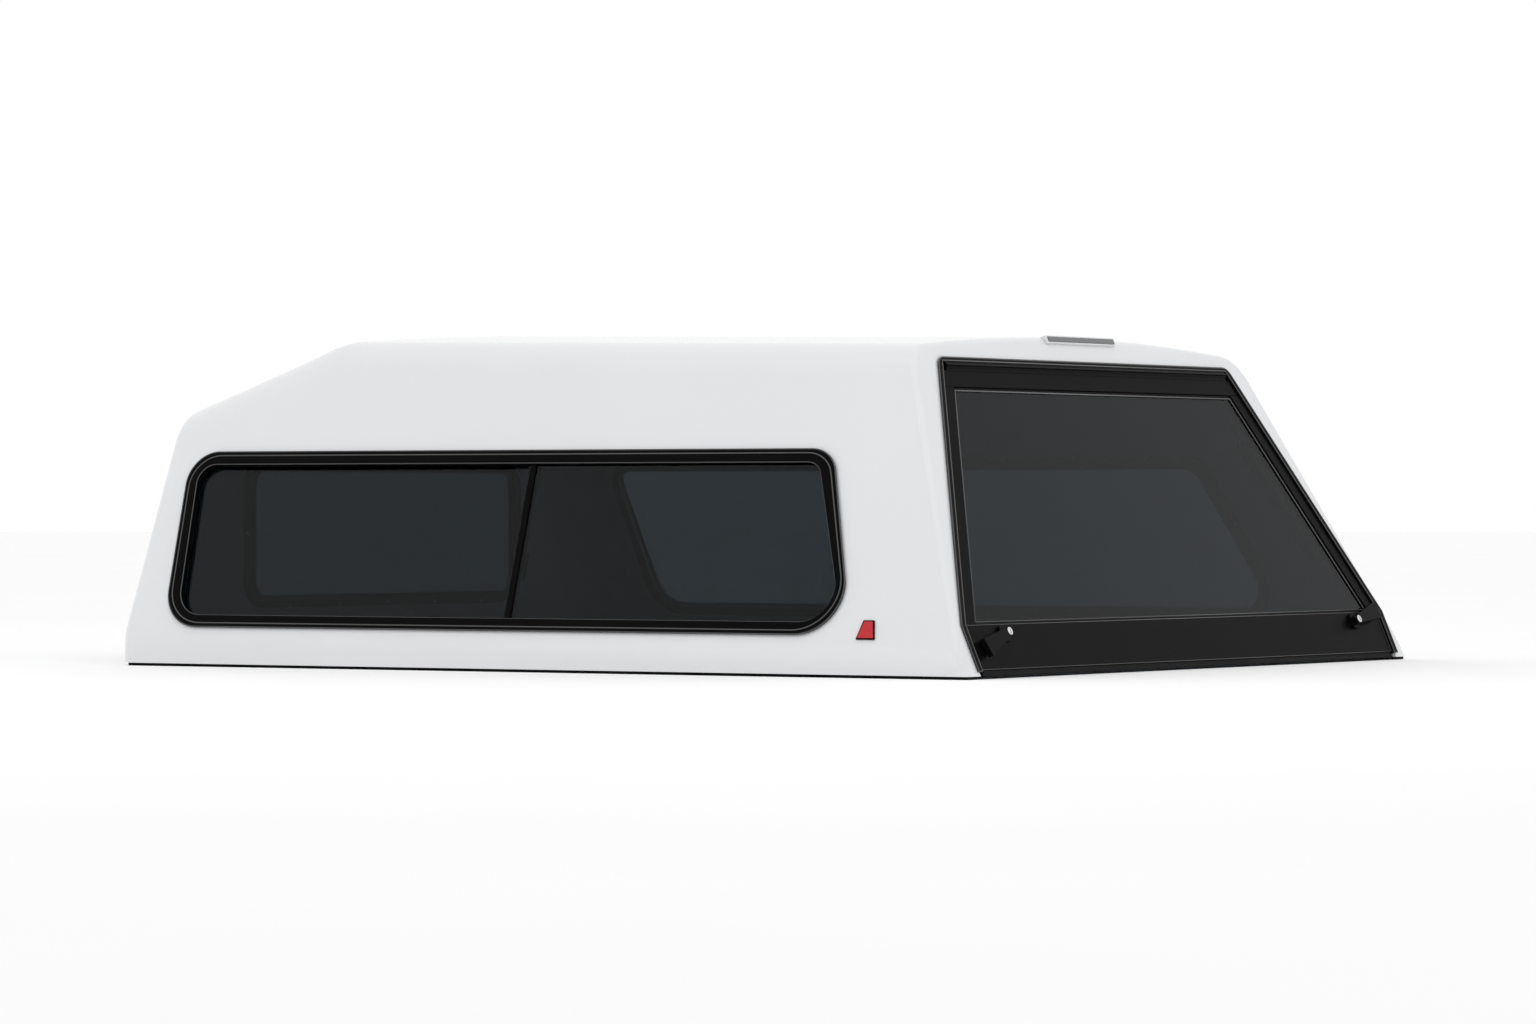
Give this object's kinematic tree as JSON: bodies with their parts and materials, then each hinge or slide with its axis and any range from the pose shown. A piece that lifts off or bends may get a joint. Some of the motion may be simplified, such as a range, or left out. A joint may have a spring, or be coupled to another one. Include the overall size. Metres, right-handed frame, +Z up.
{
  "type": "pickup truck canopy",
  "caption": "High-rise canopy for a pickup bed: one-piece white shell with tinted side and front windows and a top-hinged glass rear door on gas struts.",
  "frame": {"origin": "middle of the underside of the rail seal, on the plane of the bed rails, halfway along the canopy", "axes": "+X to the vehicle's right, +Y towards the cab, +Z up; the rear door faces -Y"},
  "size_m": [1.888, 2.0515, 0.697],
  "materials": {
    "white_gelcoat": "gloss white gelcoat",
    "black_rubber": "matt rubber",
    "black_aluminium": "black powder coat",
    "rear_glass": "dark tinted glass",
    "side_glass": "dark tinted glass",
    "smoked_lens": "smoked lens",
    "red_lens": "ribbed red reflector",
    "chrome": "bright chrome",
    "black_steel": "black paint",
    "zinc_steel": "zinc plate",
    "black_plastic": "black moulding"
  },
  "bodies": {
    "canopy": {"brake_lamp_housing": "white_gelcoat", "brake_lamp_lens": "smoked_lens", "door_seal": "black_rubber", "front_clamp_ring": "black_aluminium", "front_pane": "side_glass", "front_window_frame": "black_aluminium", "hinge_rail": "black_aluminium", "left_clamp_ring": "black_aluminium", "left_front_pane": "side_glass", "left_latch_keeper": "zinc_steel", "left_meeting_rail": "black_aluminium", "left_pane_latch": "black_plastic", "left_rear_pane": "side_glass", "left_reflector": "red_lens", "left_reflector_bezel": "black_plastic", "left_strut_mount": "zinc_steel", "left_window_frame": "black_aluminium", "rail_seal": "black_rubber", "right_clamp_ring": "black_aluminium", "right_front_pane": "side_glass", "right_latch_keeper": "zinc_steel", "right_meeting_rail": "black_aluminium", "right_pane_latch": "black_plastic", "right_rear_pane": "side_glass", "right_reflector": "red_lens", "right_reflector_bezel": "black_plastic", "right_strut_mount": "zinc_steel", "right_window_frame": "black_aluminium", "shell": "white_gelcoat"},
    "rear_door": {"door_bottom_rail": "black_aluminium", "door_glass": "rear_glass", "door_glazing_rubber": "black_rubber", "door_left_stile": "black_aluminium", "door_right_stile": "black_aluminium", "door_sweep": "black_rubber", "door_top_rail": "black_aluminium", "left_handle_base": "black_plastic", "left_strut_stud": "zinc_steel", "right_handle_base": "black_plastic", "right_strut_stud": "zinc_steel"},
    "left_handle": {"left_handle_lever": "black_plastic", "left_lock_cylinder": "chrome", "left_latch_cam": "zinc_steel"},
    "left_strut_tube_body": {"left_strut_tube": "black_steel"},
    "left_strut_rod_body": {"left_strut_rod": "chrome"},
    "right_handle": {"right_handle_lever": "black_plastic", "right_lock_cylinder": "chrome", "right_latch_cam": "zinc_steel"},
    "right_strut_tube_body": {"right_strut_tube": "black_steel"},
    "right_strut_rod_body": {"right_strut_rod": "chrome"}
  },
  "joints": [
    {"name": "rear_door_hinge", "type": "hinge", "parent": "canopy", "child": "rear_door", "pos_m": [0, -0.76187, 0.60728], "axis": [-1, 0, 0], "range_deg": [0, 68]},
    {"name": "left_handle_turn", "type": "hinge", "parent": "rear_door", "child": "left_handle", "pos_m": [-0.75, -0.98705, 0.0836], "axis": [0, 0.9187, -0.395], "range_deg": [0, 75]},
    {"name": "left_strut_swing", "type": "hinge", "parent": "canopy", "child": "left_strut_tube_body", "pos_m": [-0.76802, -0.8767, 0.22125], "axis": [0.891, -0.2412, -0.3846], "range_deg": [0, 19.15]},
    {"name": "left_strut_extend", "type": "slide", "parent": "left_strut_tube_body", "child": "left_strut_rod_body", "axis": [0.4497, 0.3528, 0.8205], "range_m": [0, 0.03767]},
    {"name": "right_handle_turn", "type": "hinge", "parent": "rear_door", "child": "right_handle", "pos_m": [0.75, -0.98705, 0.0836], "axis": [0, -0.9187, 0.395], "range_deg": [0, 75]},
    {"name": "right_strut_swing", "type": "hinge", "parent": "canopy", "child": "right_strut_tube_body", "pos_m": [0.76802, -0.8767, 0.22125], "axis": [0.891, 0.2412, 0.3846], "range_deg": [0, 19.15]},
    {"name": "right_strut_extend", "type": "slide", "parent": "right_strut_tube_body", "child": "right_strut_rod_body", "axis": [-0.4497, 0.3528, 0.8205], "range_m": [0, 0.03767]}
  ],
  "couplings": [
    {"joint": "left_strut_swing", "follows": "rear_door_hinge", "ratio": 0.28138},
    {"joint": "left_strut_extend", "follows": "rear_door_hinge", "m_per_rad": 0.031654},
    {"joint": "right_strut_swing", "follows": "rear_door_hinge", "ratio": 0.28138},
    {"joint": "right_strut_extend", "follows": "rear_door_hinge", "m_per_rad": 0.031654}
  ]
}
